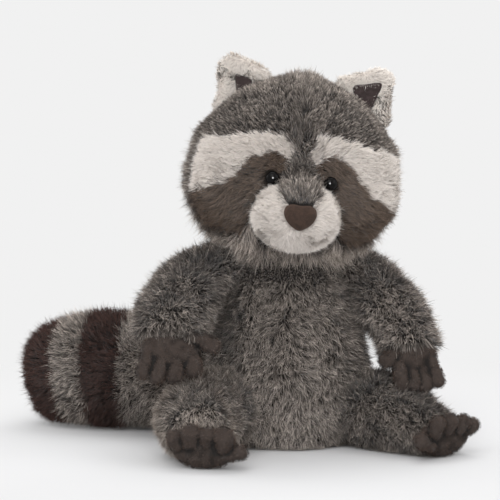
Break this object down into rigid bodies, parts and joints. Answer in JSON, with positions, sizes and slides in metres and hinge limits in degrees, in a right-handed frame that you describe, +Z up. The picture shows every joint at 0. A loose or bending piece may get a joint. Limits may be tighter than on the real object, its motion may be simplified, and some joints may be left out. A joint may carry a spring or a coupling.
{
  "type": "plush raccoon",
  "caption": "Seated plush raccoon with a stuffed head, masked face, hanging suede hands, splayed legs with suede feet and a fat banded tail.",
  "frame": {"origin": "middle of the flat seat under the torso, on the surface that the toy sits on", "axes": "+Z up, the toy faces -Y, its own left side is +X and its tail lies towards -X"},
  "size_m": [0.2643, 0.2356, 0.2576],
  "materials": {
    "grey_fur": "long salt-and-pepper pile",
    "cream_fur": "short cream pile",
    "brown_fur": "brown pile",
    "brown_suede": "matt brushed suede cloth",
    "ear_suede": "matt dark suede cloth",
    "nose_suede": "matt suede cloth",
    "black_plastic": "polished",
    "white_plastic": "moulded"
  },
  "bodies": {
    "root": {"torso": "grey_fur", "head": "grey_fur", "brow_panel_left": "cream_fur", "brow_panel_right": "cream_fur", "eye_patch_left": "brown_fur", "eye_patch_right": "brown_fur", "muzzle": "cream_fur", "nose_bridge": "grey_fur", "nose": "nose_suede", "eye_left": "black_plastic", "eye_right": "black_plastic", "eye_washer_left": "white_plastic", "eye_washer_right": "white_plastic", "ear_left": "cream_fur", "ear_right": "cream_fur", "ear_lining_left": "ear_suede", "ear_lining_right": "ear_suede", "arm_left": "grey_fur", "arm_right": "grey_fur", "hand_left": "brown_suede", "hand_right": "brown_suede", "leg_left": "grey_fur", "leg_right": "grey_fur", "foot_left": "brown_suede", "foot_right": "brown_suede", "tail_root": "grey_fur", "tail_band_dark": "brown_fur", "tail_band_grey": "grey_fur", "tail_tip": "brown_fur"}
  },
  "joints": []
}
